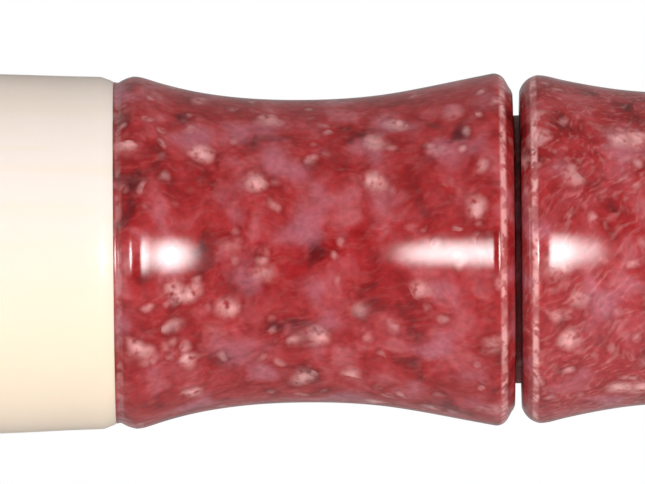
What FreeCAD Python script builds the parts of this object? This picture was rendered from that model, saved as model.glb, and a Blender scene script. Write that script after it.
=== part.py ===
import FreeCAD, Part
import math
import os

# A turned two-tone duck call: a barrel of two glued sections, and a reed insert pushed into its socket.
# Millimetres. The call stands on its exhaust face at Z = 0 with its axis along Z and its mouth end up.
# The reeds face +X. A level is a height above the exhaust face, and out is a distance from the axis.

# ---- overall sizes -------------------------------------------------------------------------------
LENGTH = 127.0  # five inches
BARREL_LENGTH = 80.0
SLEEVE_LENGTH = 39.85  # the marbled section of the barrel
PARTING_GAP = 0.7  # width of the slot at the parting line

SHOULDER = LENGTH - BARREL_LENGTH - PARTING_GAP  # the slot's lower face
BARREL_FACE = SHOULDER + PARTING_GAP
COLOUR_JOINT = BARREL_FACE + SLEEVE_LENGTH
MOUTH_FACE = LENGTH

# ---- outside of the call, as radii ---------------------------------------------------------------
SWELL_RADIUS = 18.0  # the fullest part of the pale section
COLOUR_RIM_RADIUS = 17.61  # the two rims beside the groove where the colours meet
COLOUR_JOINT_RADIUS = 17.1
COLOUR_GROOVE_RADIUS = 17.02  # the groove's floor, just on the marbled side of the joint
COLOUR_GROOVE_DROP = 0.2
SLEEVE_WAIST_RADIUS = 15.13
SLEEVE_EDGE_RADIUS = 15.6  # where the sleeve's rim meets its flat face, at the slot
PARTING_EDGE_RADIUS = 15.8  # where the insert's rim meets its flat face
SEAT_RADIUS = 13.4  # the step on the insert that the barrel seats on, which is the slot's floor
SEAT_CLEARANCE = 0.05
INSERT_RIM_RADIUS = 17.4
INSERT_WAIST_RADIUS = 15.5
EXHAUST_RIM_RADIUS = 17.2
NECK_RADIUS = 14.1
LIP_RADIUS = 14.9

# ---- bores and tenons ----------------------------------------------------------------------------
SOCKET_BORE_RADIUS = 9.525  # three-quarter inch drill
SOCKET_ENTRY = 0.6  # chamfer at the socket's mouth
MOUTH_BORE_RADIUS = 8.0
MOUTH_BORE_DEPTH = 9.0
BORE_STEP = 1.0  # cone between the two bores
GLUE_TENON_RADIUS = 12.45
GLUE_TENON_LENGTH = 14.0
GLUE_CLEARANCE = 0.05
TENON_RADIUS = 9.45  # slides in the socket bore
TENON_LENGTH = 18.0
TENON_CHAMFER = 0.8
EXHAUST_BORE_RADIUS = 4.76  # three-eighths inch drill
BELL_RADIUS = 8.2
BELL_DEPTH = 8.5
TAIL_RADIUS = 6.34  # the tone board's tail, pressed into the insert
TAIL_SEAT_RADIUS = 6.35
TAIL_LENGTH = 22.0

# ---- sealing rings -------------------------------------------------------------------------------
RING_ABOVE_SHOULDER = {"upper_o_ring": 13.5, "lower_o_ring": 5.0}
RING_INNER_RADIUS = 8.37
RING_OUTER_RADIUS = 9.5
RING_WIDTH = 1.7
GROOVE_RADIUS = 8.35
GROOVE_WIDTH = 2.0

# ---- tone board ----------------------------------------------------------------------------------
BOARD_RADIUS = 7.9
BOARD_LENGTH = 50.0  # above the insert's tenon
COLLAR_LENGTH = 14.2  # the full round below the reed table
TABLE_OUT = 1.0  # the reed table's distance from the axis
FLAT_LENGTH = 6.0  # table that stays flat above the collar
FACING_RADIUS = 250.0  # the table then falls away on this radius
CHANNEL_RADIUS = 3.175  # quarter-inch sound channel
CHANNEL_TIP_WALL = 3.6
TIP_CORNER_RADIUS = 4.0
UNDERCUT_LENGTH = 15.0
UNDERCUT_DEPTH = 3.4

# ---- reeds and their wedge -----------------------------------------------------------------------
REED_THICKNESS = 0.25
REED_WIDTH = 13.0
REED_CORNER_RADIUS = 2.5
REED_CLEARANCE = 0.02
SLIT_WIDTH = 13.2  # slit in the collar for the reeds
SLIT_DEPTH = 0.62
LONG_REED_SETBACK = 0.6  # from the tip of the board
SHORT_REED_SETBACK = 3.2
SHORT_REED_RISE = math.radians(0.6)  # its dimple props it off the long reed
DIMPLE_FROM_WEDGE = 27.0
DIMPLE_RADIUS = 1.1
WEDGE_WIDTH = 9.4
WEDGE_CLEARANCE = 0.04
WEDGE_OVERHANG = 0.6
WEDGE_BACK_GAP = 0.7
WEDGE_EDGE_RADIUS = 0.4
POCKET_WIDTH = 9.6
POCKET_DEPTH = 11.7
POCKET_ROOF_FRONT = 4.6  # the pocket's roof, out from the axis
POCKET_ROOF_BACK = 3.9

TENON_END = SHOULDER + TENON_LENGTH
TAIL_END = TENON_END - TAIL_LENGTH
COLLAR_FRONT = TENON_END + COLLAR_LENGTH
BOARD_TIP = TENON_END + BOARD_LENGTH
FACING_START = COLLAR_FRONT + FLAT_LENGTH
POCKET_BACK = COLLAR_FRONT - POCKET_DEPTH
REED_BACK = POCKET_BACK + 0.3
WEDGE_FRONT = COLLAR_FRONT + WEDGE_OVERHANG
WEDGE_BACK = POCKET_BACK + WEDGE_BACK_GAP
LONG_REED_OUT = TABLE_OUT + REED_CLEARANCE
SHORT_REED_OUT = LONG_REED_OUT + REED_THICKNESS + REED_CLEARANCE
WEDGE_OUT = SHORT_REED_OUT + REED_THICKNESS + WEDGE_CLEARANCE
OVERCUT = 2.0  # how far cutting shapes run past what they cut
CLOSE = 1e-6


def at(level, out):
    """A point in the XZ plane."""
    return FreeCAD.Vector(out, 0, level)


class Outline:
    """A closed outline in the XZ plane, drawn edge by edge from its first point."""

    def __init__(self, level, out):
        self.first = at(level, out)
        self.here = self.first
        self.edges = []

    def line(self, level, out):
        end = at(level, out)
        self.edges.append(Part.LineSegment(self.here, end).toShape())
        self.here = end
        return self

    def arc(self, via, end):
        last = at(*end)
        self.edges.append(Part.Arc(self.here, at(*via), last).toShape())
        self.here = last
        return self

    def spline(self, points, start_slope=0.0, end_slope=0.0):
        """A smooth curve from here through the points. A slope is out per level, at either end."""
        through = [self.here] + [at(*p) for p in points]
        way = 1 if through[-1].z > through[0].z else -1
        curve = Part.BSplineCurve()
        curve.interpolate(
            Points=through,
            InitialTangent=at(way, way * start_slope),
            FinalTangent=at(way, way * end_slope),
        )
        self.edges.append(curve.toShape())
        self.here = through[-1]
        return self

    def face(self):
        if self.here.distanceToPoint(self.first) > CLOSE:
            self.line(self.first.z, self.first.x)
        return Part.Face(Part.Wire(self.edges))

    def turned(self):
        """The outline spun once round the call's axis."""
        return self.face().revolve(FreeCAD.Vector(), FreeCAD.Vector(0, 0, 1), 360)

    def bar(self, width):
        """The outline pulled out along Y, with the axis at its middle."""
        face = self.face()
        face.translate(FreeCAD.Vector(0, -width / 2, 0))
        return face.extrude(FreeCAD.Vector(0, width, 0))


def rod(radius, low, high):
    """A round bar along the call's axis."""
    return Part.makeCylinder(radius, high - low, at(low, 0))


def slab(low, high, near, far, width):
    """A square-edged bar between two levels and two distances out."""
    return Part.makeBox(far - near, width, high - low, FreeCAD.Vector(near, -width / 2, low))


def mouthpiece_section():
    """The pale front of the barrel: a swelled tube, a lip to blow at and a tenon for the sleeve."""

    def above(distance):
        return COLOUR_JOINT + distance

    tenon_end = COLOUR_JOINT - GLUE_TENON_LENGTH
    bore_end = MOUTH_FACE - MOUTH_BORE_DEPTH
    outline = Outline(COLOUR_JOINT, COLOUR_JOINT_RADIUS)
    outline.arc((above(0.55), 17.34), (above(1.3), COLOUR_RIM_RADIUS))
    outline.spline(
        [
            (above(14.0), SWELL_RADIUS),
            (above(24.0), 17.25),
            (above(31.0), 15.3),
            (above(35.6), NECK_RADIUS),
        ],
        start_slope=0.02,
    )
    outline.spline([(above(38.4), LIP_RADIUS)])
    outline.arc((MOUTH_FACE - 0.55, 14.3), (MOUTH_FACE, 13.0))
    outline.line(MOUTH_FACE, 9.6)
    outline.arc((MOUTH_FACE - 0.45, 8.47), (MOUTH_FACE - 1.5, MOUTH_BORE_RADIUS))
    outline.line(bore_end, MOUTH_BORE_RADIUS)
    outline.line(bore_end - BORE_STEP, SOCKET_BORE_RADIUS)
    outline.line(tenon_end, SOCKET_BORE_RADIUS)
    outline.line(tenon_end, GLUE_TENON_RADIUS)
    outline.line(COLOUR_JOINT, GLUE_TENON_RADIUS)
    return outline.turned()


def marbled_sleeve():
    """The marbled back of the barrel: a waisted collar whose bore is the insert's socket."""

    def below(distance):
        return COLOUR_JOINT - COLOUR_GROOVE_DROP - distance

    socket_floor = COLOUR_JOINT - GLUE_TENON_LENGTH - GLUE_CLEARANCE
    glue_radius = GLUE_TENON_RADIUS + GLUE_CLEARANCE
    outline = Outline(COLOUR_JOINT, COLOUR_JOINT_RADIUS)
    outline.line(below(0.1), COLOUR_GROOVE_RADIUS)
    outline.line(below(0.3), COLOUR_GROOVE_RADIUS)
    outline.arc((below(1.0), 17.39), (below(1.8), COLOUR_RIM_RADIUS))
    outline.spline(
        [
            (below(3.3), 17.3),
            (below(6.3), 16.43),
            (below(11.0), 15.57),
            (below(19.0), SLEEVE_WAIST_RADIUS),
            (below(26.0), 15.5),
            (below(31.0), 16.3),
            (below(36.0), 17.28),
            (below(37.45), 17.56),
        ],
        end_slope=-0.2,
    )
    outline.arc((below(38.28), 17.51), (below(38.9), 16.96))
    outline.line(BARREL_FACE, SLEEVE_EDGE_RADIUS)
    outline.line(BARREL_FACE, SOCKET_BORE_RADIUS + SOCKET_ENTRY)
    outline.line(BARREL_FACE + SOCKET_ENTRY, SOCKET_BORE_RADIUS)
    outline.line(socket_floor, SOCKET_BORE_RADIUS)
    outline.line(socket_floor, glue_radius)
    outline.line(COLOUR_JOINT, glue_radius)
    return outline.turned()


def bell_middle():
    """The middle of the bell's arc, which runs into the exhaust bore without a corner."""
    rise = BELL_RADIUS - EXHAUST_BORE_RADIUS
    arc_radius = (BELL_DEPTH**2 + rise**2) / (2 * rise)
    half_turn = math.asin(BELL_DEPTH / arc_radius) / 2
    level = BELL_DEPTH - arc_radius * math.sin(half_turn)
    return level, EXHAUST_BORE_RADIUS + arc_radius * (1 - math.cos(half_turn))


def insert_body():
    """The marbled insert: a waisted grip, a seat, a tenon with two ring grooves, the exhaust bore."""

    def below(distance):
        return SHOULDER - distance

    seat = BARREL_FACE - SEAT_CLEARANCE
    outline = Outline(seat, TENON_RADIUS)
    outline.line(seat, SEAT_RADIUS)
    outline.line(SHOULDER, SEAT_RADIUS)
    outline.line(SHOULDER, PARTING_EDGE_RADIUS)
    outline.arc((below(0.65), 16.85), (below(1.8), INSERT_RIM_RADIUS))
    outline.spline(
        [
            (below(3.4), 17.13),
            (below(6.4), 16.48),
            (below(10.5), 15.83),
            (below(16.5), INSERT_WAIST_RADIUS),
            (below(27.0), 15.85),
            (below(38.0), 16.75),
            (below(44.0), EXHAUST_RIM_RADIUS),
        ]
    )
    outline.arc((0.62, 16.7), (0, 15.4))
    outline.line(0, BELL_RADIUS)
    outline.arc(bell_middle(), (BELL_DEPTH, EXHAUST_BORE_RADIUS))
    outline.line(TAIL_END, EXHAUST_BORE_RADIUS)
    outline.line(TAIL_END, TAIL_SEAT_RADIUS)
    outline.line(TENON_END, TAIL_SEAT_RADIUS)
    outline.line(TENON_END, TENON_RADIUS - TENON_CHAMFER)
    outline.line(TENON_END - TENON_CHAMFER, TENON_RADIUS)
    for above_shoulder in sorted(RING_ABOVE_SHOULDER.values(), reverse=True):
        groove_top = SHOULDER + above_shoulder + GROOVE_WIDTH / 2
        outline.line(groove_top, TENON_RADIUS)
        outline.line(groove_top, GROOVE_RADIUS)
        outline.line(groove_top - GROOVE_WIDTH, GROOVE_RADIUS)
        outline.line(groove_top - GROOVE_WIDTH, TENON_RADIUS)
    return outline.turned()


def o_ring(above_shoulder):
    """A rubber ring as it sits in the socket, squeezed to flats on its inner and outer sides."""
    middle = SHOULDER + above_shoulder
    side_radius = (RING_OUTER_RADIUS - RING_INNER_RADIUS) / 2
    half_width = RING_WIDTH / 2
    half_flat = half_width - side_radius
    side_out = RING_INNER_RADIUS + side_radius
    outline = Outline(middle - half_flat, RING_OUTER_RADIUS)
    outline.line(middle + half_flat, RING_OUTER_RADIUS)
    outline.arc((middle + half_width, side_out), (middle + half_flat, RING_INNER_RADIUS))
    outline.line(middle - half_flat, RING_INNER_RADIUS)
    outline.arc((middle - half_width, side_out), (middle - half_flat, RING_OUTER_RADIUS))
    return outline.turned()


def facing_out(above_start):
    """The curved table's distance from the axis, a height above where it starts to fall away."""
    return TABLE_OUT - FACING_RADIUS + math.sqrt(FACING_RADIUS**2 - above_start**2)


def over_the_table():
    """The space over the reed table, flat by the collar and curved away to the tip."""
    past_tip = BOARD_TIP + OVERCUT
    reach = past_tip - FACING_START
    far = BOARD_RADIUS + OVERCUT
    outline = Outline(COLLAR_FRONT, TABLE_OUT)
    outline.line(FACING_START, TABLE_OUT)
    outline.arc((FACING_START + reach / 2, facing_out(reach / 2)), (past_tip, facing_out(reach)))
    outline.line(past_tip, far)
    outline.line(COLLAR_FRONT, far)
    return outline.bar(2 * far)


def behind_the_tip():
    """The wedge-shaped relief on the board's back, which lets air round the tip."""
    past_tip = BOARD_TIP + OVERCUT
    start = BOARD_TIP - UNDERCUT_LENGTH
    slope = UNDERCUT_DEPTH / UNDERCUT_LENGTH
    far = -BOARD_RADIUS - OVERCUT
    outline = Outline(start, -BOARD_RADIUS)
    outline.line(past_tip, -BOARD_RADIUS + slope * (past_tip - start))
    outline.line(past_tip, far)
    outline.line(start, far)
    return outline.bar(-2 * far)


def round_tipped(tip, back, near, far, width, corner):
    """A slab whose two corners at the tip are rounded."""
    blank = slab(back, tip, near, far, width)
    corners = [e for e in blank.Edges if e.BoundBox.ZMin > tip - CLOSE and e.BoundBox.YLength < CLOSE]
    return blank.makeFillet(corner, corners)


def pocket_roof(level):
    """The sloping roof of the collar's pocket, out from the axis."""
    share = (level - POCKET_BACK) / POCKET_DEPTH
    return POCKET_ROOF_BACK + share * (POCKET_ROOF_FRONT - POCKET_ROOF_BACK)


def reed_slot():
    """The pocket in the collar for the wedge, and the wider slit under it for the reeds."""
    open_end = COLLAR_FRONT + OVERCUT
    outline = Outline(POCKET_BACK, TABLE_OUT)
    outline.line(POCKET_BACK, pocket_roof(POCKET_BACK))
    outline.line(open_end, pocket_roof(open_end))
    outline.line(open_end, TABLE_OUT)
    slit = slab(POCKET_BACK, open_end, TABLE_OUT, TABLE_OUT + SLIT_DEPTH, SLIT_WIDTH)
    return outline.bar(POCKET_WIDTH).fuse(slit)


def sound_channel():
    """The round channel under the reeds, closed by a ball end near the tip."""
    ball_level = BOARD_TIP - CHANNEL_TIP_WALL - CHANNEL_RADIUS
    ball = Part.makeSphere(CHANNEL_RADIUS, at(ball_level, 0))
    return rod(CHANNEL_RADIUS, TAIL_END - OVERCUT, ball_level).fuse(ball)


def tone_board():
    """The board that the reeds beat on: half round at the tip, full round below, tail in the insert."""
    far = BOARD_RADIUS + OVERCUT
    plan = round_tipped(
        BOARD_TIP, TAIL_END - OVERCUT, -far, far, 2 * BOARD_RADIUS, TIP_CORNER_RADIUS
    )
    board = rod(BOARD_RADIUS, TENON_END, BOARD_TIP).fuse(rod(TAIL_RADIUS, TAIL_END, TENON_END))
    board = board.common(plan)
    for cut in [over_the_table(), behind_the_tip(), reed_slot(), sound_channel()]:
        board = board.cut(cut)
    return board.removeSplitter()


def long_reed():
    """The long flat reed that beats on the board."""
    return round_tipped(
        BOARD_TIP - LONG_REED_SETBACK,
        REED_BACK,
        LONG_REED_OUT,
        LONG_REED_OUT + REED_THICKNESS,
        REED_WIDTH,
        REED_CORNER_RADIUS,
    )


def short_reed():
    """The shorter reed on top, which leans away above the wedge because of the dimple pressed in it."""
    tip = BOARD_TIP - SHORT_REED_SETBACK
    slope = math.tan(SHORT_REED_RISE)
    rise = (tip - WEDGE_FRONT) * slope
    top = SHORT_REED_OUT + REED_THICKNESS
    outline = Outline(REED_BACK, SHORT_REED_OUT)
    outline.line(WEDGE_FRONT, SHORT_REED_OUT)
    outline.line(tip, SHORT_REED_OUT + rise)
    outline.line(tip, top + rise)
    outline.line(WEDGE_FRONT, top)
    outline.line(REED_BACK, top)
    plan = round_tipped(tip, REED_BACK, 0, top + OVERCUT, REED_WIDTH, REED_CORNER_RADIUS)
    sheet = outline.bar(REED_WIDTH + OVERCUT).common(plan)

    middle = WEDGE_FRONT + DIMPLE_FROM_WEDGE
    lift = DIMPLE_FROM_WEDGE * slope
    ball = Part.makeSphere(DIMPLE_RADIUS, at(middle, SHORT_REED_OUT + DIMPLE_RADIUS))
    under_sheet = slab(
        middle - DIMPLE_RADIUS,
        middle + DIMPLE_RADIUS,
        SHORT_REED_OUT,
        SHORT_REED_OUT + lift + REED_THICKNESS / 2,
        2 * DIMPLE_RADIUS,
    )
    return sheet.fuse(ball.common(under_sheet)).removeSplitter()


def reed_wedge():
    """The cork wedge that jams the reeds down in the collar's pocket."""
    outline = Outline(WEDGE_FRONT, WEDGE_OUT)
    outline.line(WEDGE_BACK, WEDGE_OUT)
    outline.line(WEDGE_BACK, pocket_roof(WEDGE_BACK) - WEDGE_CLEARANCE)
    outline.line(WEDGE_FRONT, pocket_roof(WEDGE_FRONT) - WEDGE_CLEARANCE)
    wedge = outline.bar(WEDGE_WIDTH)
    front_edges = [e for e in wedge.Edges if e.BoundBox.ZMin > WEDGE_FRONT - CLOSE]
    return wedge.makeFillet(WEDGE_EDGE_RADIUS, front_edges)


def build():
    """Every piece by its node name."""
    pieces = {
        "mouthpiece_section": mouthpiece_section(),
        "marbled_sleeve": marbled_sleeve(),
        "insert_body": insert_body(),
        "tone_board": tone_board(),
        "long_reed": long_reed(),
        "short_reed": short_reed(),
        "reed_wedge": reed_wedge(),
    }
    for name, above_shoulder in RING_ABOVE_SHOULDER.items():
        pieces[name] = o_ring(above_shoulder)
    return pieces


def write(pieces):
    """One STEP file for each piece, each of them a single closed solid."""
    os.makedirs("parts", exist_ok=True)
    for name, shape in pieces.items():
        if len(shape.Solids) != 1 or not shape.isValid():
            raise ValueError(name + " is not one sound solid")
        solid = shape.Solids[0]
        solid.exportStep("parts/" + name + ".step")
        print(name, round(solid.Volume, 1))


write(build())
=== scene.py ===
import math

import bmesh
import bpy
from bpy.props import FloatProperty, FloatVectorProperty, IntProperty, PointerProperty
from mathutils import Matrix, Vector, noise


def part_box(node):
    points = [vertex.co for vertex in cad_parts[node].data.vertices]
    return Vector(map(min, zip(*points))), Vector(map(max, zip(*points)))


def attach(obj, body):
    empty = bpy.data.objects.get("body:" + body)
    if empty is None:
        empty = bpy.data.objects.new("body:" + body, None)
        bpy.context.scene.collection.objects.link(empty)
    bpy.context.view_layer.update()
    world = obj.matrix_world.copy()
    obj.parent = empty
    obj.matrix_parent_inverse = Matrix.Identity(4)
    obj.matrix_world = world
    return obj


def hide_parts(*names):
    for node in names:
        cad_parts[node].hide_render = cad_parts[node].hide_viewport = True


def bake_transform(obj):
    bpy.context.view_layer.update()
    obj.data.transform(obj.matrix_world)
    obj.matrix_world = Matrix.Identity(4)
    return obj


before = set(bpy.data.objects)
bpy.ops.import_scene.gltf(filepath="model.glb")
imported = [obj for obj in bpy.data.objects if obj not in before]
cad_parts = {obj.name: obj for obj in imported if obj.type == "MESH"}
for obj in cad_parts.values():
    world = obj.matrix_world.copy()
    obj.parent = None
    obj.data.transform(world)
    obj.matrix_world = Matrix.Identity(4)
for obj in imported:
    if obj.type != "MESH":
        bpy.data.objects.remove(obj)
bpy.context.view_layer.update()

bl_info = {
    "name": "Duck Call",
    "version": (1, 0, 0),
    "blender": (4, 5, 0),
    "location": "3D View > Sidebar > Duck Call",
    "description": "Makes a turned two-tone duck call, its reeds and seals, and a plain stage",
    "category": "Object",
}

MM = 0.001
PER_MM = 1000.0  # turns object coordinates in metres into millimetres
SAME_POINT = 1e-6
PARTING_GAP = 0.7 * MM
DIMPLE_FROM_WEDGE = 27 * MM

# ---- levels read from the frame: heights above the exhaust face ----------------------------------
LEVEL = {node: (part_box(node)[0].z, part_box(node)[1].z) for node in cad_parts}
PARTING_LEVEL = LEVEL["marbled_sleeve"][0]
SHOULDER_LEVEL = PARTING_LEVEL - PARTING_GAP
COLOUR_JOINT = LEVEL["marbled_sleeve"][1]
WEDGE_FRONT = LEVEL["reed_wedge"][1]


def linear(code):
    """An sRGB hex colour as linear red, green and blue."""
    values = [int(code[i : i + 2], 16) / 255 for i in (1, 3, 5)]
    return tuple(v / 12.92 if v <= 0.04045 else ((v + 0.055) / 1.055) ** 2.4 for v in values)


def colour_property(name, description, code):
    return FloatVectorProperty(
        name=name, description=description, default=linear(code), subtype="COLOR", min=0, max=1, size=3
    )


# ---- settings a user would change ----------------------------------------------------------------
class CallShape(bpy.types.PropertyGroup):
    """How finely the pieces are made, and how their edges are eased."""

    around: IntProperty(
        name="Divisions around",
        description="Faces round a turned piece",
        default=192,
        min=24,
    )
    step: FloatProperty(
        name="Outline step",
        description="Longest step along a curved outline",
        default=0.6 * MM,
        unit="LENGTH",
    )
    edge: FloatProperty(
        name="Edge ease",
        description="How far a turned corner is eased",
        default=0.14 * MM,
        unit="LENGTH",
    )
    dimple: FloatProperty(
        name="Dimple radius",
        description="Radius of the dimple in the short reed",
        default=1.5 * MM,
        unit="LENGTH",
    )
    grain: FloatProperty(
        name="Cork grain",
        description="Size of one cork grain",
        default=0.9 * MM,
        unit="LENGTH",
    )


class CallColours(bpy.types.PropertyGroup):
    """The colours of the acrylics, the cork, the film and the rubber."""

    maroon: colour_property("Maroon", "Darkest veins of the marbling", "#5A1013")
    crimson: colour_property("Crimson", "Clear red ground of the marbling", "#8C1719")
    brick: colour_property("Brick", "Lighter red of the marbling", "#9E2A2D")
    # Rose also paints the paler -X side of the marbled pieces, a painted light from below.
    rose: colour_property("Rose", "Cloudy pink of the marbling", "#AD5358")
    # Pearl also paints the highlights along the eased edges of the marbled pieces.
    pearl: colour_property("Pearl", "Pearl flakes in the marbling", "#DFA6A4")
    lilac: colour_property("Lilac", "Cool pink that drifts through the marbling", "#AE6E7E")
    ivory: colour_property("Ivory", "Ground of the pale acrylic", "#ECE0D8")
    # This colour paints warm light from below on the -X side of the pale acrylic.
    warm_lit_cream: colour_property("Cream", "Deeper side of the pale acrylic", "#EFDCC4")
    ivory_grain: colour_property("Ivory grain", "Growth lines in the pale acrylic", "#EADBC6")
    board: colour_property("Tone board", "Moulded board under the reeds", "#E9E2D2")
    film: colour_property("Reed film", "Frosted polyester film", "#F1F4F4")
    cork: colour_property("Cork", "Pressed cork", "#B48F68")
    cork_dark: colour_property("Cork pores", "Bark and pores in the cork", "#6A4424")
    rubber: colour_property("Rubber", "Nitrile rubber of the rings", "#17171A")


class StageSettings(bpy.types.PropertyGroup):
    """Where the camera and the lights stand, and how bright the lights and the room are."""

    view_width: FloatProperty(
        name="View width",
        description="Length of the call in view",
        default=64.5 * MM,
        unit="LENGTH",
    )
    view_level: FloatProperty(
        name="View level",
        description="Height in the middle of the view",
        default=66.1 * MM,
        unit="LENGTH",
    )
    view_rise: FloatProperty(
        name="View rise",
        description="How far the view's middle is off the axis",
        default=0.9 * MM,
        unit="LENGTH",
    )
    roll: FloatProperty(
        name="Roll",
        description="Turn of the camera past a quarter",
        default=math.radians(0.5),
        unit="ROTATION",
    )
    distance: FloatProperty(
        name="Camera distance",
        description="From the lens to the axis",
        default=2.0,
        unit="LENGTH",
    )
    upper_angle: FloatProperty(
        name="Upper key angle",
        description="Angle of the upper key light from the lens",
        default=math.radians(24.5),
        unit="ROTATION",
    )
    lower_angle: FloatProperty(
        name="Lower key angle",
        description="Angle of the lower key light from the lens",
        default=math.radians(29),
        unit="ROTATION",
    )
    key_power: FloatProperty(
        name="Key power",
        description="Power of the upper key light in watts; the lower follows its size",
        default=8.9,
    )
    ambient: FloatProperty(
        name="Ambient",
        description="Brightness of the room",
        default=0.31,
    )


# ---- small helpers -------------------------------------------------------------------------------
def add_node(tree, kind, inputs=None, stops=None, **settings):
    """Adds a node. An input takes a value or is linked to an output; stops are a ramp's colours."""
    node = tree.nodes.new(kind)
    for name, value in settings.items():
        setattr(node, name, value)
    for key, value in (inputs or {}).items():
        if isinstance(value, bpy.types.NodeSocket):
            tree.links.new(value, node.inputs[key])
        else:
            node.inputs[key].default_value = value
    if stops:
        elements = node.color_ramp.elements
        while len(elements) < len(stops):
            elements.new(1.0)
        for element, (place, colour) in zip(elements, stops, strict=True):
            element.position = place
            element.color = (*colour, 1.0)
    return node


def new_material(name, **principled):
    """A material and its principled shader, whose fixed values stand on the shader's own sockets."""
    material = bpy.data.materials.new(name)
    material.use_nodes = True
    shader = material.node_tree.nodes["Principled BSDF"]
    for key, value in principled.items():
        shader.inputs[key.replace("_", " ")].default_value = value
    return material, material.node_tree, shader


def grey(value):
    return (value, value, value)


def settings():
    scene = bpy.context.scene
    return scene.call_shape, scene.call_colours, scene.call_stage


def show(mesh, name, material, slot, *nodes):
    """Links a finished mesh as a piece that stands for CAD nodes."""
    piece = bpy.data.objects.new(name, mesh)
    bpy.context.scene.collection.objects.link(piece)
    if material:
        mesh.materials.clear()
        mesh.materials.append(material)
    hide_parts(*nodes)
    return piece


# ---- turned pieces -------------------------------------------------------------------------------
CORNER = math.radians(30)  # a sharper turn in an outline is a corner
STRAIGHT = 6  # a step this many times its neighbour's length is a straight stretch


def merged_copy(node):
    """A CAD node's mesh as a bmesh with its doubles merged."""
    mesh = bmesh.new()
    mesh.from_mesh(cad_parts[node].data)
    bmesh.ops.remove_doubles(mesh, verts=mesh.verts, dist=SAME_POINT)
    return mesh


def seam_outline(node):
    """The closed outline that a turned node was spun from: points in the XZ plane, in order."""
    mesh = merged_copy(node)
    seam = {v for v in mesh.verts if abs(v.co.y) < SAME_POINT and v.co.x > 0}
    first = min(seam, key=lambda v: (round(v.co.z, 6), v.co.x))
    walk = [first]
    before = None
    while len(walk) <= len(seam):
        here = walk[-1]
        nearby = [e.other_vert(here) for e in here.link_edges]
        ways = [v for v in nearby if v in seam and v is not before]
        onward = max(ways, key=lambda v: v.co.x) if before is None else ways[0]
        if onward is first:
            break
        before = here
        walk.append(onward)
    if len(walk) != len(seam):
        raise RuntimeError(node + " has no single outline on its seam")
    outline = [v.co.copy() for v in walk]
    mesh.free()
    return outline


def smooth_run(points, step):
    """A run between two corners with its curved steps divided, straight stretches left alone."""
    steps = [b - a for a, b in zip(points, points[1:], strict=False)]
    lengths = [s.length for s in steps]
    if len(steps) == 1:
        return points[:1]
    straight = []
    for i, length in enumerate(lengths):
        beside = lengths[max(i - 1, 0) : i] + lengths[i + 1 : i + 2]
        straight.append(length > STRAIGHT * min(beside))
    ways = [s / length for s, length in zip(steps, lengths, strict=True)]
    tangents = []
    for i in range(1, len(steps)):
        if straight[i - 1] or straight[i]:
            tangents.append(ways[i - 1] if straight[i - 1] else ways[i])
        else:
            share = lengths[i] / (lengths[i - 1] + lengths[i])
            tangents.append(ways[i - 1] * share + ways[i] * (1 - share))
    first = ways[0] if straight[0] else 2 * ways[0] - tangents[0]
    last = ways[-1] if straight[-1] else 2 * ways[-1] - tangents[-1]
    tangents = [first, *tangents, last]
    run = []
    for i, length in enumerate(lengths):
        pieces = 1 if straight[i] else math.ceil(length / step)
        for k in range(pieces):
            t = k / pieces
            run.append(
                points[i] * (2 * t**3 - 3 * t**2 + 1)
                + tangents[i] * length * (t**3 - 2 * t**2 + t)
                + points[i + 1] * (3 * t**2 - 2 * t**3)
                + tangents[i + 1] * length * (t**3 - t**2)
            )
    return run


def eased_corner(before, corner, after, ease):
    """A corner as a short curve, with a point beyond each end that keeps the flat beside it flat."""
    sides = [before - corner, after - corner]
    cut = min([ease] + [0.3 * s.length for s in sides])
    ends = [corner + s.normalized() * cut for s in sides]
    curve = [
        ends[0] * (1 - t) ** 2 + corner * 2 * t * (1 - t) + ends[1] * t**2 for t in (0, 0.25, 0.5, 0.75, 1)
    ]
    guards = [corner + s.normalized() * 2.2 * cut for s in sides]
    return [guards[0], *curve, guards[1]]


def refined(outline, step, ease):
    """An outline with smooth curves between its corners, and its corners eased."""
    count = len(outline)

    def turn(i):
        return (outline[i] - outline[i - 1]).angle(outline[(i + 1) % count] - outline[i])

    corners = [i for i in range(count) if turn(i) > CORNER]
    if not corners:
        return outline
    points = []
    is_corner = []
    for start, end in zip(corners, corners[1:] + [corners[0] + count], strict=True):
        run = smooth_run([outline[i % count] for i in range(start, end + 1)], step)
        points += run
        is_corner += [True] + [False] * (len(run) - 1)
    eased = []
    for i, point in enumerate(points):
        if is_corner[i]:
            eased += eased_corner(points[i - 1], point, points[(i + 1) % len(points)], ease)
        else:
            eased.append(point)
    return eased


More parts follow.
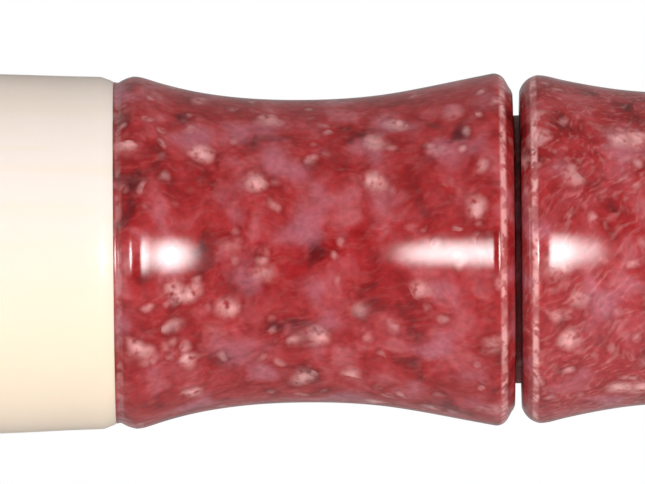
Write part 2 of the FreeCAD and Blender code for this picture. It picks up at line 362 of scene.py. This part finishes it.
def turned_tree():
    """Geometry nodes that spin a closed outline about Z into one closed skin."""
    tree = bpy.data.node_groups.new("Turned piece", "GeometryNodeTree")
    for name, kind in (
        ("Outline", "NodeSocketGeometry"),
        ("Divisions", "NodeSocketInt"),
        ("Material", "NodeSocketMaterial"),
    ):
        tree.interface.new_socket(name, in_out="INPUT", socket_type=kind)
    tree.interface.new_socket("Piece", in_out="OUTPUT", socket_type="NodeSocketGeometry")
    given = add_node(tree, "NodeGroupInput").outputs
    size = add_node(
        tree, "GeometryNodeAttributeDomainSize", {"Geometry": given["Outline"]}, component="MESH"
    )
    count = size.outputs["Point Count"]
    rows = add_node(tree, "ShaderNodeMath", {0: count, 1: 1.0}, operation="ADD")
    columns = add_node(tree, "ShaderNodeMath", {0: given["Divisions"], 1: 1.0}, operation="ADD")
    grid = add_node(
        tree,
        "GeometryNodeMeshGrid",
        {"Size X": 1.0, "Size Y": 1.0, "Vertices X": rows.outputs[0], "Vertices Y": columns.outputs[0]},
    )
    place = add_node(tree, "GeometryNodeInputPosition").outputs[0]
    middle = add_node(tree, "ShaderNodeVectorMath", {0: place, 1: (0.5, 0.5, 0)}, operation="ADD")
    share = add_node(tree, "ShaderNodeSeparateXYZ", {0: middle.outputs[0]}).outputs
    along = add_node(tree, "ShaderNodeMath", {0: share["X"], 1: count}, operation="MULTIPLY")
    nearest = add_node(tree, "ShaderNodeMath", {0: along.outputs[0]}, operation="ROUND")
    index = add_node(tree, "ShaderNodeMath", {0: nearest.outputs[0], 1: count}, operation="MODULO")
    point = add_node(
        tree,
        "GeometryNodeSampleIndex",
        {"Geometry": given["Outline"], "Value": place, "Index": index.outputs[0]},
        data_type="FLOAT_VECTOR",
        domain="POINT",
    )
    angle = add_node(tree, "ShaderNodeMath", {0: share["Y"], 1: 2 * math.pi}, operation="MULTIPLY")
    spun = add_node(
        tree,
        "ShaderNodeVectorRotate",
        {"Vector": point.outputs[0], "Angle": angle.outputs[0]},
        rotation_type="Z_AXIS",
    )
    skin = add_node(
        tree, "GeometryNodeSetPosition", {"Geometry": grid.outputs["Mesh"], "Position": spun.outputs[0]}
    )
    closed = add_node(
        tree, "GeometryNodeMergeByDistance", {"Geometry": skin.outputs[0], "Distance": SAME_POINT}
    )
    smooth = add_node(tree, "GeometryNodeSetShadeSmooth", {"Geometry": closed.outputs[0]})
    real = add_node(tree, "GeometryNodeRealizeInstances", {"Geometry": smooth.outputs[0]})
    finished = add_node(
        tree, "GeometryNodeSetMaterial", {"Geometry": real.outputs[0], "Material": given["Material"]}
    )
    add_node(tree, "NodeGroupOutput", {0: finished.outputs[0]})
    return tree


def turned_piece(node, name, material, slot, around=None, ease=None):
    """Spins a node's outline, smoothed and eased, and stands it in for the node."""
    shape, _, _ = settings()
    outline = refined(seam_outline(node), shape.step, shape.edge if ease is None else ease)
    count = len(outline)
    wire = bpy.data.meshes.new(name + " outline")
    wire.from_pydata(outline, [(i, (i + 1) % count) for i in range(count)], [])
    piece = bpy.data.objects.new(name, wire)
    bpy.context.scene.collection.objects.link(piece)
    tree = bpy.data.node_groups.get("Turned piece") or turned_tree()
    spin = piece.modifiers.new("Turned piece", "NODES")
    spin.node_group = tree
    sockets = {s.name: s.identifier for s in tree.interface.items_tree if s.in_out == "INPUT"}
    spin[sockets["Divisions"]] = around or shape.around
    spin[sockets["Material"]] = material
    graph = bpy.context.evaluated_depsgraph_get()
    mesh = bpy.data.meshes.new_from_object(piece.evaluated_get(graph))
    bpy.data.objects.remove(piece)
    bpy.data.meshes.remove(wire)
    return show(mesh, name, None, slot, node)


# ---- materials -----------------------------------------------------------------------------------
def marbled_acrylic(name, blank, rim_highlights, threads, painted_underlight):
    """Cast acrylic, PMMA, poured from reds with crushed pearl, then turned and buffed.

    The eye sees a clear crimson depth with cloudy rose swirls 2 to 4 mm across, soft pearl flakes
    of 1 to 2 mm lying at different depths, fine mottling, and a hard gloss. Each eased edge gets a
    painted highlight: a pale pearl stripe broken into dashes. Bores, steps and tenons are as the
    cutter left them, duller and with fine turning lines. blank places the pattern in the cast rod,
    the third argument gives the levels and strengths of the painted highlights on the eased edges,
    threads is how strongly the pearl is drawn out into fine threads, and the last argument is how
    much paler the side towards -X is painted, a painted light from below.
    """
    _, colours, _ = settings()
    material, tree, shader = new_material(
        name,
        IOR=1.49,
        Subsurface_Weight=0.5,
        Subsurface_Radius=(2.6 * MM, 0.5 * MM, 0.4 * MM),
        Subsurface_Scale=1.0,
    )
    place = add_node(tree, "ShaderNodeTexCoord").outputs["Object"]
    local = add_node(
        tree,
        "ShaderNodeMapping",
        {"Vector": place, "Scale": grey(PER_MM), "Rotation": blank[0], "Location": blank[1]},
    ).outputs[0]

    def clouds(where, per_mm, detail=2.0, rough=0.5):
        inputs = {"Vector": where, "Scale": per_mm, "Detail": detail, "Roughness": rough}
        return add_node(tree, "ShaderNodeTexNoise", inputs).outputs["Fac"]

    def share(value, start, full, most):
        """How much of a colour shows: none at start, most at full."""
        inputs = {"Value": value, "From Min": start, "From Max": full, "To Min": 0.0, "To Max": most}
        return add_node(tree, "ShaderNodeMapRange", inputs, interpolation_type="SMOOTHSTEP").outputs[0]

    def product(a, b):
        return add_node(tree, "ShaderNodeMath", {0: a, 1: b}, operation="MULTIPLY").outputs[0]

    def over(under, amount, tone):
        tone = tone if isinstance(tone, bpy.types.NodeSocket) else (*tone, 1)
        inputs = {0: amount, 6: under, 7: tone}
        return add_node(tree, "ShaderNodeMix", inputs, data_type="RGBA").outputs[2]

    # The pour drags the colours about by a millimetre or so.
    drift = add_node(tree, "ShaderNodeTexNoise", {"Vector": local, "Scale": 0.25, "Detail": 1.0})
    pull = add_node(
        tree, "ShaderNodeVectorMath", {0: drift.outputs["Color"], 1: grey(-0.5)}, operation="ADD"
    )
    swirled = add_node(
        tree,
        "ShaderNodeVectorMath",
        {0: pull.outputs[0], 1: grey(3.0), 2: local},
        operation="MULTIPLY_ADD",
    ).outputs[0]
    # Each crushed lump, 2 to 3 mm across, took up the red a little differently.
    lump = add_node(
        tree,
        "ShaderNodeTexVoronoi",
        {"Vector": swirled, "Scale": 0.45, "Smoothness": 0.8},
        feature="SMOOTH_F1",
    )
    lump_tone = add_node(tree, "ShaderNodeSeparateColor", {0: lump.outputs["Color"]}).outputs[0]
    depth = add_node(
        tree,
        "ShaderNodeMath",
        {0: lump_tone, 1: 0.32, 2: clouds(swirled, 0.24, 3.0, 0.5)},
        operation="MULTIPLY_ADD",
    ).outputs[0]
    ground = add_node(
        tree,
        "ShaderNodeValToRGB",
        {"Fac": depth},
        stops=[
            (0.37, colours.maroon),
            (0.54, colours.crimson),
            (0.72, colours.brick),
            (0.92, colours.rose),
        ],
    ).outputs["Color"]
    clouded = over(ground, share(clouds(swirled, 0.2, 3.0, 0.55), 0.44, 0.74, 0.8), colours.rose)
    across = add_node(tree, "ShaderNodeSeparateXYZ", {0: place})
    # Painted light from below: the -X side is painted paler with rose, as if lit from underneath.
    paler = over(clouded, share(across.outputs["X"], 8 * MM, -15 * MM, painted_underlight), colours.rose)
    colour = over(paler, share(clouds(local, 0.2, 1.0), 0.54, 0.74, 0.45), colours.lilac)
    # Pearl flakes: a coarse and a fine size, soft at their edges, kept in only some of the cells.
    for cells_per_mm, radius, kept, strength in ((0.27, 0.46, 0.55, 0.85), (0.6, 0.5, 0.66, 0.5)):
        flake = add_node(tree, "ShaderNodeTexVoronoi", {"Vector": swirled, "Scale": cells_per_mm})
        chosen = share(flake.outputs["Color"], kept, kept + 0.15, 1.0)
        distance = flake.outputs["Distance"]
        halo = product(share(distance, radius * 1.5, radius, 0.15), chosen)
        body = product(share(distance, radius, 0.1 * radius, strength), chosen)
        broken = product(body, share(clouds(local, 1.2, 1.0), 0.2, 0.55, 1.0))
        colour = over(over(colour, halo, colours.maroon), broken, colours.pearl)
    # Threads of pearl, drawn out at a slant by the pour, half a millimetre wide.
    slant = add_node(
        tree,
        "ShaderNodeMapping",
        {"Vector": swirled, "Rotation": (0.0, math.radians(35), 0.3), "Scale": (1.9, 1.6, 0.6)},
    ).outputs[0]
    colour = over(colour, share(clouds(slant, 1.0, 1.0), 0.45, 0.8, threads), colours.pearl)
    # Crushed pearl too fine to tell apart mottles everything.
    fine = add_node(
        tree,
        "ShaderNodeMapRange",
        {
            "Value": clouds(local, 1.5, 2.0),
            "From Min": 0.3,
            "From Max": 0.7,
            "To Min": 0.84,
            "To Max": 1.16,
        },
    ).outputs[0]
    mottled = add_node(
        tree, "ShaderNodeVectorMath", {0: colour, "Scale": fine}, operation="SCALE"
    ).outputs[0]
    # Painted highlight along each eased edge: a pearl stripe 0.6 mm wide, broken into dashes about a
    # millimetre long.
    level = across.outputs["Z"]
    small_highlight_dashes = share(clouds(local, 1.0), 0.4, 0.56, 1.0)
    highlight_dashes = product(small_highlight_dashes, share(clouds(local, 0.35), 0.3, 0.55, 1.0))
    for highlight_level, strength in rim_highlights:
        below = add_node(tree, "ShaderNodeMath", {0: level, 1: highlight_level}, operation="SUBTRACT").outputs[0]
        away = add_node(tree, "ShaderNodeMath", {0: below}, operation="ABSOLUTE").outputs[0]
        rim_highlight_stripe = share(away, 0.45 * MM, 0.12 * MM, strength)
        uneven = add_node(
            tree, "ShaderNodeMath", {0: highlight_dashes, 1: 0.8, 2: 0.2}, operation="MULTIPLY_ADD"
        ).outputs[0]
        mottled = over(mottled, product(rim_highlight_stripe, uneven), colours.pearl)
    tree.links.new(mottled, shader.inputs["Base Color"])
    # The buff reached only what is more than 14 mm from the axis, and left it a little uneven.
    flat = add_node(tree, "ShaderNodeVectorMath", {0: place, 1: (1, 1, 0)}, operation="MULTIPLY")
    radius = add_node(tree, "ShaderNodeVectorMath", {0: flat.outputs[0]}, operation="LENGTH")
    unbuffed = share(radius.outputs["Value"], 14.6 * MM, 13.8 * MM, 1.0)
    dull = add_node(
        tree, "ShaderNodeMapRange", {"Value": unbuffed, "To Min": 0.13, "To Max": 0.42}
    )
    tree.links.new(dull.outputs[0], shader.inputs["Roughness"])
    waves = add_node(
        tree,
        "ShaderNodeBump",
        {"Height": clouds(local, 0.5, 3.0), "Strength": 0.25, "Distance": 0.02 * MM},
    )
    # Turning lines lie 0.3 mm apart: a wave's bands are 0.314 / scale apart.
    lines = add_node(
        tree, "ShaderNodeTexWave", {"Vector": place, "Scale": 0.314 / (0.3 * MM)}, bands_direction="Z"
    )
    relief = add_node(
        tree,
        "ShaderNodeBump",
        {
            "Height": product(lines.outputs["Fac"], unbuffed),
            "Strength": 0.5,
            "Distance": 0.01 * MM,
            "Normal": waves.outputs[0],
        },
    )
    tree.links.new(relief.outputs[0], shader.inputs["Normal"])
    return material


def ivory_acrylic():
    """Cast polyester made to look like ivory, turned and buffed.

    The eye sees a warm white with a soft glow at its edges, and faint growth lines along it. Its -X side
    is painted a deeper, creamier white and its +X side pinker, a painted warm light from below.
    """
    _, colours, _ = settings()
    material, tree, shader = new_material(
        "Buffed ivory acrylic",
        Roughness=0.22,
        IOR=1.5,
        Subsurface_Weight=0.15,
        Subsurface_Radius=(1.2 * MM, 0.8 * MM, 0.5 * MM),
        Subsurface_Scale=1.0,
    )
    place = add_node(tree, "ShaderNodeTexCoord").outputs["Object"]
    # Painted warm light from below: across X the ivory turns creamier over 20 mm towards -X; a wave's
    # bands are 0.314 / scale apart.
    warm_light_bands = add_node(
        tree,
        "ShaderNodeTexWave",
        {
            "Vector": place,
            "Scale": 0.314 / (40 * MM),
            "Distortion": 0.8,
            "Detail": 1.0,
            "Detail Scale": 0.6,
            "Phase Offset": 4.87,
        },
        bands_direction="X",
    )
    warm_lit_cream = add_node(
        tree,
        "ShaderNodeMix",
        {0: warm_light_bands.outputs["Fac"], 6: (*colours.ivory, 1), 7: (*colours.warm_lit_cream, 1)},
        data_type="RGBA",
    )
    lines = add_node(
        tree, "ShaderNodeMapping", {"Vector": place, "Scale": (0.5 * PER_MM, 0.5 * PER_MM, 0.02 * PER_MM)}
    )
    grain = add_node(
        tree,
        "ShaderNodeTexNoise",
        {"Vector": lines.outputs[0], "Scale": 1.0, "Detail": 4.0, "Roughness": 0.5},
    )
    shade = add_node(
        tree,
        "ShaderNodeMapRange",
        {"Value": grain.outputs["Fac"], "From Min": 0.45, "From Max": 0.7, "To Min": 0.0, "To Max": 0.4},
        interpolation_type="SMOOTHSTEP",
    )
    colour = add_node(
        tree,
        "ShaderNodeMix",
        {0: shade.outputs[0], 6: warm_lit_cream.outputs[2], 7: (*colours.ivory_grain, 1)},
        data_type="RGBA",
    )
    tree.links.new(colour.outputs[2], shader.inputs["Base Color"])
    return material


def board_acrylic():
    """Moulded acrylic with a milled table: satin, with soft cutter lines 1.9 mm apart across it."""
    _, colours, _ = settings()
    material, tree, shader = new_material("Satin moulded acrylic", IOR=1.49)
    place = add_node(tree, "ShaderNodeTexCoord").outputs["Object"]
    # A wave's bands are 0.314 / scale apart.
    cuts = add_node(
        tree,
        "ShaderNodeTexWave",
        {"Vector": place, "Scale": PER_MM / 6, "Distortion": 0.4, "Detail": 1.0},
        bands_direction="Z",
    )
    haze = add_node(tree, "ShaderNodeTexNoise", {"Vector": place, "Scale": 0.6 * PER_MM, "Detail": 4.0})
    tone = add_node(
        tree,
        "ShaderNodeValToRGB",
        {"Fac": haze.outputs["Fac"]},
        stops=[(0.3, tuple(0.88 * c for c in colours.board)), (0.7, colours.board)],
    )
    tree.links.new(tone.outputs["Color"], shader.inputs["Base Color"])
    satin = add_node(
        tree,
        "ShaderNodeMapRange",
        {"Value": haze.outputs["Fac"], "To Min": 0.24, "To Max": 0.42},
    )
    tree.links.new(satin.outputs[0], shader.inputs["Roughness"])
    relief = add_node(
        tree, "ShaderNodeBump", {"Height": cuts.outputs["Fac"], "Strength": 0.3, "Distance": 0.01 * MM}
    )
    tree.links.new(relief.outputs[0], shader.inputs["Normal"])
    return material


def reed_film():
    """Frosted polyester film, 0.25 mm thick: milky, half clear, with a fine matte tooth."""
    _, colours, _ = settings()
    material, tree, shader = new_material(
        "Frosted polyester film", IOR=1.58, Transmission_Weight=0.6, Base_Color=(*colours.film, 1)
    )
    place = add_node(tree, "ShaderNodeTexCoord").outputs["Object"]
    # The tooth is finer than a tenth of a millimetre, and is drawn at 0.15 mm so that it shows.
    tooth = add_node(
        tree, "ShaderNodeTexNoise", {"Vector": place, "Scale": PER_MM / 0.15, "Detail": 2.0}
    )
    matte = add_node(
        tree, "ShaderNodeMapRange", {"Value": tooth.outputs["Fac"], "To Min": 0.3, "To Max": 0.5}
    )
    tree.links.new(matte.outputs[0], shader.inputs["Roughness"])
    relief = add_node(
        tree, "ShaderNodeBump", {"Height": tooth.outputs["Fac"], "Strength": 0.15, "Distance": 0.01 * MM}
    )
    tree.links.new(relief.outputs[0], shader.inputs["Normal"])
    return material


def pressed_cork(grain):
    """Pressed cork: tan grains about a millimetre across, dark bark specks and open pores."""
    _, colours, _ = settings()
    material, tree, shader = new_material("Pressed cork", Roughness=0.85, IOR=1.4)
    place = add_node(tree, "ShaderNodeTexCoord").outputs["Object"]
    grains = add_node(tree, "ShaderNodeTexVoronoi", {"Vector": place, "Scale": 1 / grain})
    tone = add_node(tree, "ShaderNodeSeparateColor", {0: grains.outputs["Color"]})
    light = tuple(min(1, 1.35 * c) for c in colours.cork)
    tan = add_node(
        tree,
        "ShaderNodeValToRGB",
        {"Fac": tone.outputs[0]},
        stops=[(0.0, colours.cork_dark), (0.12, colours.cork), (1.0, light)],
    )
    pores = add_node(tree, "ShaderNodeTexNoise", {"Vector": place, "Scale": 2.2 * PER_MM, "Detail": 4.0})
    pore_share = add_node(
        tree,
        "ShaderNodeMapRange",
        {"Value": pores.outputs["Fac"], "From Min": 0.56, "From Max": 0.68, "To Min": 0.0, "To Max": 0.8},
    )
    colour = add_node(
        tree,
        "ShaderNodeMix",
        {0: pore_share.outputs[0], 6: tan.outputs["Color"], 7: (*colours.cork_dark, 1)},
        data_type="RGBA",
    )
    tree.links.new(colour.outputs[2], shader.inputs["Base Color"])
    relief = add_node(
        tree, "ShaderNodeBump", {"Height": pores.outputs["Fac"], "Strength": 0.6, "Distance": -0.06 * MM}
    )
    tree.links.new(relief.outputs[0], shader.inputs["Normal"])
    return material


def ring_rubber():
    """Moulded nitrile rubber, wiped with grease: near black, with soft uneven highlights."""
    _, colours, _ = settings()
    material, tree, shader = new_material(
        "Greased nitrile rubber", IOR=1.52, Base_Color=(*colours.rubber, 1)
    )
    place = add_node(tree, "ShaderNodeTexCoord").outputs["Object"]
    grease = add_node(tree, "ShaderNodeTexNoise", {"Vector": place, "Scale": 0.8 * PER_MM, "Detail": 3.0})
    sheen = add_node(
        tree, "ShaderNodeMapRange", {"Value": grease.outputs["Fac"], "To Min": 0.22, "To Max": 0.5}
    )
    tree.links.new(sheen.outputs[0], shader.inputs["Roughness"])
    return material


# ---- operators, one for each piece or group of like pieces ---------------------------------------
class CALL_OT_mouthpiece(bpy.types.Operator):
    """Make the pale front section of the barrel"""

    bl_idname = "duck_call.mouthpiece"
    bl_label = "Mouthpiece Section"

    def execute(self, context):
        piece = turned_piece("mouthpiece_section", "mouthpiece_shell", ivory_acrylic(), "ivory_acrylic")
        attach(piece, "barrel")
        return {"FINISHED"}


class CALL_OT_marbled(bpy.types.Operator):
    """Make the marbled sleeve and the marbled insert, turned from two cast rods"""

    bl_idname = "duck_call.marbled"
    bl_label = "Marbled Sleeve and Insert"

    def execute(self, context):
        sleeve = marbled_acrylic(
            "Buffed marbled acrylic, sleeve",
            ((0.3, 0.2, 0.0), (3.0, 5.0, -20.0)),
            # The painted highlights on the eased edges stand at these levels, with these strengths.
            ((PARTING_LEVEL + 1.1 * MM, 0.8), (COLOUR_JOINT - 0.5 * MM, 0.3)),
            threads=0.06,
            # How much paler the -X side is painted, a painted light from below.
            painted_underlight=0.1,
        )
        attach(turned_piece("marbled_sleeve", "sleeve_shell", sleeve, "marbled_acrylic"), "barrel")
        insert = marbled_acrylic(
            "Buffed marbled acrylic, insert",
            ((0.0, 0.8, 0.4), (31.0, -7.0, 12.0)),
            # The painted highlight on the eased edge stands at this level, with this strength.
            ((SHOULDER_LEVEL - 1.3 * MM, 1.0),),
            threads=0.2,
            # How much paler the -X side is painted, a painted light from below.
            painted_underlight=0.3,
        )
        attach(turned_piece("insert_body", "insert_shell", insert, "marbled_acrylic"), "insert")
        return {"FINISHED"}


class CALL_OT_o_rings(bpy.types.Operator):
    """Make the two rubber rings on the insert's tenon"""

    bl_idname = "duck_call.o_rings"
    bl_label = "O-Rings"

    def execute(self, context):
        rubber = ring_rubber()
        for node in ("upper_o_ring", "lower_o_ring"):
            ring = turned_piece(node, node + "_seal", rubber, "ring_rubber", around=128)
            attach(ring, "sealing_rings")
        return {"FINISHED"}


class CALL_OT_tone_board(bpy.types.Operator):
    """Make the tone board, with its machined edges broken"""

    bl_idname = "duck_call.tone_board"
    bl_label = "Tone Board"

    def execute(self, context):
        solid = merged_copy("tone_board")
        bmesh.ops.dissolve_limit(
            solid, angle_limit=math.radians(0.5), verts=solid.verts, edges=solid.edges
        )
        mesh = bpy.data.meshes.new("tone_board_moulding")
        solid.to_mesh(mesh)
        solid.free()
        board = show(mesh, "tone_board_moulding", board_acrylic(), "board_acrylic", "tone_board")
        broken = board.modifiers.new("Broken edges", "BEVEL")
        broken.width = 0.12 * MM
        broken.segments = 2
        broken.limit_method = "ANGLE"
        broken.angle_limit = CORNER
        mesh.shade_smooth()
        even = board.modifiers.new("Even shading", "WEIGHTED_NORMAL")
        even.keep_sharp = True
        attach(board, "insert")
        return {"FINISHED"}


def reed_mesh(name, node, out_at, dimple=None):
    """A thin plate with rounded tip corners: out_at gives its underside's distance from the axis."""
    low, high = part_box(node)
    half_width = high.y
    corner = 2.5 * MM
    rows = 132
    columns = 36
    thickness = 0.25 * MM
    mesh = bmesh.new()
    sides = []
    for lift in (0.0, thickness):
        layer = []
        for i in range(rows + 1):
            share = i / rows
            level = low.z + (high.z - low.z) * (1 - (1 - share) ** 1.15)
            into_corner = max(0.0, level - (high.z - corner))
            half = half_width - corner + math.sqrt(max(0.0, corner**2 - into_corner**2))
            row = []
            for k in range(columns + 1):
                across = (2 * k / columns - 1) * half
                out = out_at(level) + lift - (dimple(level, across) if dimple else 0.0)
                row.append(mesh.verts.new((out, across, level)))
            layer.append(row)
        sides.append(layer)
    for layer in sides:
        for i in range(rows):
            for k in range(columns):
                mesh.faces.new((layer[i][k], layer[i][k + 1], layer[i + 1][k + 1], layer[i + 1][k]))
    under, over = sides
    rim_highlights = [
        ([row[0] for row in under], [row[0] for row in over]),
        ([row[-1] for row in under], [row[-1] for row in over]),
        (under[0], over[0]),
        (under[-1], over[-1]),
    ]
    for a, b in rim_highlights:
        for k in range(len(a) - 1):
            mesh.faces.new((a[k], a[k + 1], b[k + 1], b[k]))
    bmesh.ops.recalc_face_normals(mesh, faces=mesh.faces)
    data = bpy.data.meshes.new(name)
    mesh.to_mesh(data)
    mesh.free()
    data.shade_smooth()
    data.set_sharp_from_angle(angle=CORNER)
    return data


class CALL_OT_reeds(bpy.types.Operator):
    """Make the two reeds of frosted film: the long one lies flat, the short one leans out past the wedge,
    with a dimple 27 mm beyond it
    """

    bl_idname = "duck_call.reeds"
    bl_label = "Reeds"

    def execute(self, context):
        shape, _, _ = settings()
        film = reed_film()
        long_low, long_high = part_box("long_reed")
        short_low, short_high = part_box("short_reed")
        thickness = long_high.x - long_low.x
        lean = (short_high.x - short_low.x - thickness) / (short_high.z - WEDGE_FRONT)
        middle = WEDGE_FRONT + DIMPLE_FROM_WEDGE
        depth = lean * (middle - WEDGE_FRONT)

        def leaning(level):
            return short_low.x + lean * max(0.0, level - WEDGE_FRONT)

        def dimple(level, across):
            away = math.hypot(level - middle, across) / shape.dimple
            return depth * (0.5 + 0.5 * math.cos(math.pi * min(away, 1.0)))

        for node, mesh in (
            ("long_reed", reed_mesh("long_reed_film", "long_reed", lambda level: long_low.x)),
            ("short_reed", reed_mesh("short_reed_film", "short_reed", leaning, dimple)),
        ):
            piece = show(mesh, node + "_film", film, "reed_film", node)
            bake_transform(piece)
        return {"FINISHED"}


class CALL_OT_wedge(bpy.types.Operator):
    """Make the cork wedge, with a grained and pitted surface"""

    bl_idname = "duck_call.wedge"
    bl_label = "Cork Wedge"

    def execute(self, context):
        shape, _, _ = settings()
        block = merged_copy("reed_wedge")
        mesh = bpy.data.meshes.new("cork_wedge")
        block.to_mesh(mesh)
        block.free()
        wedge = show(mesh, "cork_wedge", pressed_cork(shape.grain), "cork", "reed_wedge")
        fine = wedge.modifiers.new("Fine skin", "REMESH")
        fine.mode = "VOXEL"
        fine.voxel_size = 0.14 * MM
        graph = bpy.context.evaluated_depsgraph_get()
        skin = bpy.data.meshes.new_from_object(wedge.evaluated_get(graph))
        wedge.modifiers.remove(fine)
        wedge.data = skin
        skin.name = "cork_wedge_skin"
        pit_size = 0.5 * MM
        # The underside is held 0.12 mm clear of the solid wedge's own, so the cork is that much
        # thinner. The slide follows the reed, so no pose needs this clearance.
        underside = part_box("reed_wedge")[0].x + 0.12 * MM
        for vertex in skin.vertices:
            pit = noise.noise(vertex.co / pit_size) - 0.15
            vertex.co -= vertex.normal * max(0.0, pit) * 0.16 * MM
            vertex.co.x = max(vertex.co.x, underside)
        skin.shade_smooth()
        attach(wedge, "wedge")
        return {"FINISHED"}


def area_light(name, place, aim, width, height, power, colour=(1, 1, 1)):
    """A soft box at place, facing aim, brightest in its middle, as a lamp behind cloth is."""
    data = bpy.data.lights.new(name, "AREA")
    data.shape = "RECTANGLE"
    data.size = width
    data.size_y = height
    data.energy = power
    data.color = colour
    data.use_nodes = True
    tree = data.node_tree
    across = add_node(tree, "ShaderNodeNewGeometry").outputs["Parametric"]
    middle = add_node(tree, "ShaderNodeVectorMath", {0: across, 1: (-0.5, -0.5, 0)}, operation="ADD")
    away = add_node(tree, "ShaderNodeVectorMath", {0: middle.outputs[0]}, operation="LENGTH")
    glow = add_node(
        tree,
        "ShaderNodeMapRange",
        {"Value": away.outputs["Value"], "From Min": 0.62, "From Max": 0.1, "To Min": 0.0, "To Max": 2.2},
        interpolation_type="SMOOTHSTEP",
    )
    tree.links.new(glow.outputs[0], tree.nodes["Emission"].inputs["Strength"])
    lamp = bpy.data.objects.new(name, data)
    lamp.location = place
    lamp.rotation_euler = (Vector(aim) - Vector(place)).to_track_quat("-Z", "Y").to_euler()
    lamp.visible_camera = False
    bpy.context.scene.collection.objects.link(lamp)
    return lamp


def matte_paper():
    """Matte white paper: bleached, uncoated, with hardly any gloss."""
    material, tree, shader = new_material("Matte white paper", Roughness=0.9, IOR=1.3)
    place = add_node(tree, "ShaderNodeTexCoord").outputs["Object"]
    fibre = add_node(tree, "ShaderNodeTexNoise", {"Vector": place, "Scale": 0.2 * PER_MM, "Detail": 4.0})
    tone = add_node(
        tree,
        "ShaderNodeValToRGB",
        {"Fac": fibre.outputs["Fac"]},
        stops=[(0.3, grey(0.90)), (0.7, grey(0.93))],
    )
    tree.links.new(tone.outputs["Color"], shader.inputs["Base Color"])
    return material


class CALL_OT_stage(bpy.types.Operator):
    """Make the floor, the lights, the room and the camera"""

    bl_idname = "duck_call.stage"
    bl_label = "Stage"

    def execute(self, context):
        _, _, stage = settings()
        scene = context.scene
        scene.view_settings.view_transform = "Standard"

        disc = bmesh.new()
        bmesh.ops.create_circle(disc, cap_ends=True, segments=96, radius=1.4)
        floor_mesh = bpy.data.meshes.new("floor")
        disc.to_mesh(floor_mesh)
        disc.free()
        floor = bpy.data.objects.new("floor", floor_mesh)
        floor_mesh.materials.append(matte_paper())
        scene.collection.objects.link(floor)
        # The lower key light shines up past the floor, so the floor neither blocks nor mirrors it.
        floor.visible_shadow = False
        floor.visible_glossy = False

        aim = Vector((0, 0, stage.view_level))
        reach = 1.5
        for name, angle, size in (
            ("upper key", stage.upper_angle, 0.50),
            ("lower key", -stage.lower_angle, 0.62),
        ):
            place = aim + reach * Vector((-0.035, -math.cos(angle), math.sin(angle)))
            area_light(name, place, aim, size, 0.42, stage.key_power * size / 0.50)
        fill = area_light("side fill", (-1.6, -0.6, 0.15), aim, 1.3, 1.3, 5.0, (1.0, 0.95, 0.88))
        fill.visible_glossy = False
        area_light("top fill", (0.0, 0.0, 0.9), aim, 0.7, 0.7, 4.0)

        room = bpy.data.worlds.new("White room")
        room.use_nodes = True
        tree = room.node_tree
        tree.nodes.clear()
        seen = add_node(tree, "ShaderNodeBackground", {"Color": (1, 1, 1, 1), "Strength": 1.0})
        # The room is dark between the soft boxes, on the -Y side, where the camera stands.
        way = add_node(tree, "ShaderNodeTexCoord").outputs["Generated"]
        front = add_node(tree, "ShaderNodeSeparateXYZ", {0: way}).outputs["Y"]
        light = add_node(
            tree,
            "ShaderNodeMapRange",
            {"Value": front, "From Min": -0.98, "From Max": -0.8, "To Min": 0.0, "To Max": stage.ambient},
            interpolation_type="SMOOTHSTEP",
        ).outputs[0]
        felt = add_node(tree, "ShaderNodeBackground", {"Color": (1.0, 0.97, 0.96, 1), "Strength": light})
        ray = add_node(tree, "ShaderNodeLightPath").outputs["Is Camera Ray"]
        mixed = add_node(tree, "ShaderNodeMixShader", {0: ray, 1: felt.outputs[0], 2: seen.outputs[0]})
        add_node(tree, "ShaderNodeOutputWorld", {0: mixed.outputs[0]})
        scene.world = room

        data = bpy.data.cameras.new("camera")
        data.sensor_width = 36.0
        data.lens = data.sensor_width * stage.distance / stage.view_width
        data.clip_end = 20.0
        camera = bpy.data.objects.new("camera", data)
        # The camera is rolled a quarter turn, so that the upright call lies across its view, +X up.
        across = Matrix(((0, 1, 0), (0, 0, -1), (-1, 0, 0)))
        camera.rotation_euler = (across @ Matrix.Rotation(-stage.roll, 3, "Z")).to_euler()
        camera.location = (stage.view_rise, -stage.distance, stage.view_level)
        scene.collection.objects.link(camera)
        scene.camera = camera
        return {"FINISHED"}


PIECES = (
    CALL_OT_mouthpiece,
    CALL_OT_marbled,
    CALL_OT_o_rings,
    CALL_OT_tone_board,
    CALL_OT_reeds,
    CALL_OT_wedge,
    CALL_OT_stage,
)


class CALL_PT_panel(bpy.types.Panel):
    """Lists the pieces of the duck call"""

    bl_label = "Duck Call"
    bl_idname = "CALL_PT_panel"
    bl_space_type = "VIEW_3D"
    bl_region_type = "UI"
    bl_category = "Duck Call"

    def draw(self, context):
        for group in settings():
            for name in group.bl_rna.properties.keys():
                if name not in ("rna_type", "name"):
                    self.layout.prop(group, name)
        for piece in PIECES:
            self.layout.operator(piece.bl_idname)


GROUPS = {"call_shape": CallShape, "call_colours": CallColours, "call_stage": StageSettings}
CLASSES = (*GROUPS.values(), *PIECES, CALL_PT_panel)


def register():
    for cls in CLASSES:
        bpy.utils.register_class(cls)
    for name, group in GROUPS.items():
        setattr(bpy.types.Scene, name, PointerProperty(type=group))


def unregister():
    for name in GROUPS:
        delattr(bpy.types.Scene, name)
    for cls in reversed(CLASSES):
        bpy.utils.unregister_class(cls)


def main():
    register()
    for piece in PIECES:
        group, name = piece.bl_idname.split(".")
        getattr(getattr(bpy.ops, group), name)()


if __name__ == "__main__":
    main()
